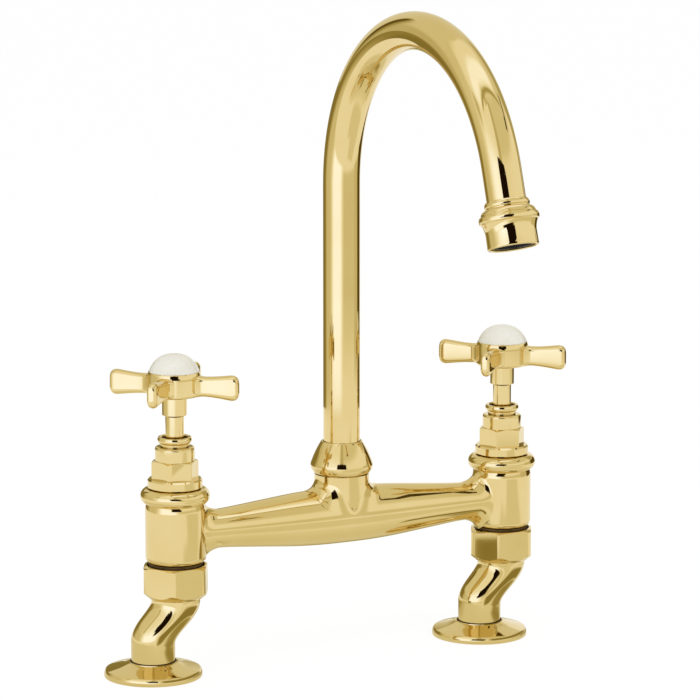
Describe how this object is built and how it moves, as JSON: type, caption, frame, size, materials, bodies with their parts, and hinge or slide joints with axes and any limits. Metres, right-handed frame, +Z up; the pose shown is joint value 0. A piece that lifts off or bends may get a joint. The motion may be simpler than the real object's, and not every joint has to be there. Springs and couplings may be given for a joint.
{
  "type": "bridge kitchen faucet",
  "caption": "Two-hole bridge kitchen faucet with cross handles and a swan-neck swivel spout on cranked legs.",
  "frame": {"origin": "on the worktop, straight below the axis that the spout swivels on, midway between the valve axes", "axes": "+Z up, +X along the bridge to the cold valve, -Y to the front, where the spout points at rest"},
  "size_m": [0.2402, 0.2037, 0.3229],
  "materials": {
    "polished_brass": "mirror polished, lacquered",
    "plain_brass": "as machined",
    "white_enamel": "glossy off-white",
    "ceramic": "lapped ceramic",
    "rubber": "matt black",
    "nylon": "moulded",
    "black_plastic": "moulded",
    "steel": "plain"
  },
  "bodies": {
    "tap_body": {"bridge_body": "polished_brass", "spout_collar": "polished_brass", "spout_glide_washer": "nylon", "leg_left": "polished_brass", "union_nut_left": "polished_brass", "union_washer_left": "rubber", "headwork_left": "polished_brass", "seat_seal_left": "rubber", "fixed_disc_left": "ceramic", "gland_ring_left": "polished_brass", "flange_left": "polished_brass", "flange_gasket_left": "rubber", "leg_right": "polished_brass", "union_nut_right": "polished_brass", "union_washer_right": "rubber", "headwork_right": "polished_brass", "seat_seal_right": "rubber", "fixed_disc_right": "ceramic", "gland_ring_right": "polished_brass", "flange_right": "polished_brass", "flange_gasket_right": "rubber"},
    "spout": {"spout_tube": "polished_brass", "spout_shank": "plain_brass", "spout_o_ring_lower": "rubber", "spout_o_ring_upper": "rubber", "nozzle": "polished_brass", "aerator_washer": "rubber", "aerator_housing": "black_plastic", "aerator_screen": "steel"},
    "left_handle": {"handle_left": "polished_brass", "handle_screw_left": "steel", "index_left": "white_enamel", "spindle_left": "polished_brass", "spindle_o_ring_left": "rubber", "moving_disc_left": "ceramic"},
    "right_handle": {"handle_right": "polished_brass", "handle_screw_right": "steel", "index_right": "white_enamel", "spindle_right": "polished_brass", "spindle_o_ring_right": "rubber", "moving_disc_right": "ceramic"}
  },
  "joints": [
    {"name": "spout_swivel", "type": "hinge", "parent": "tap_body", "child": "spout", "pos_m": [0, 0, 0.0887], "axis": [0, 0, 1], "continuous": true},
    {"name": "left_handle_turn", "type": "hinge", "parent": "tap_body", "child": "left_handle", "pos_m": [-0.09, 0, 0.1165], "axis": [0, 0, 1], "range_deg": [0, 90]},
    {"name": "right_handle_turn", "type": "hinge", "parent": "tap_body", "child": "right_handle", "pos_m": [0.09, 0, 0.1165], "axis": [0, 0, 1], "range_deg": [-90, 0]}
  ]
}
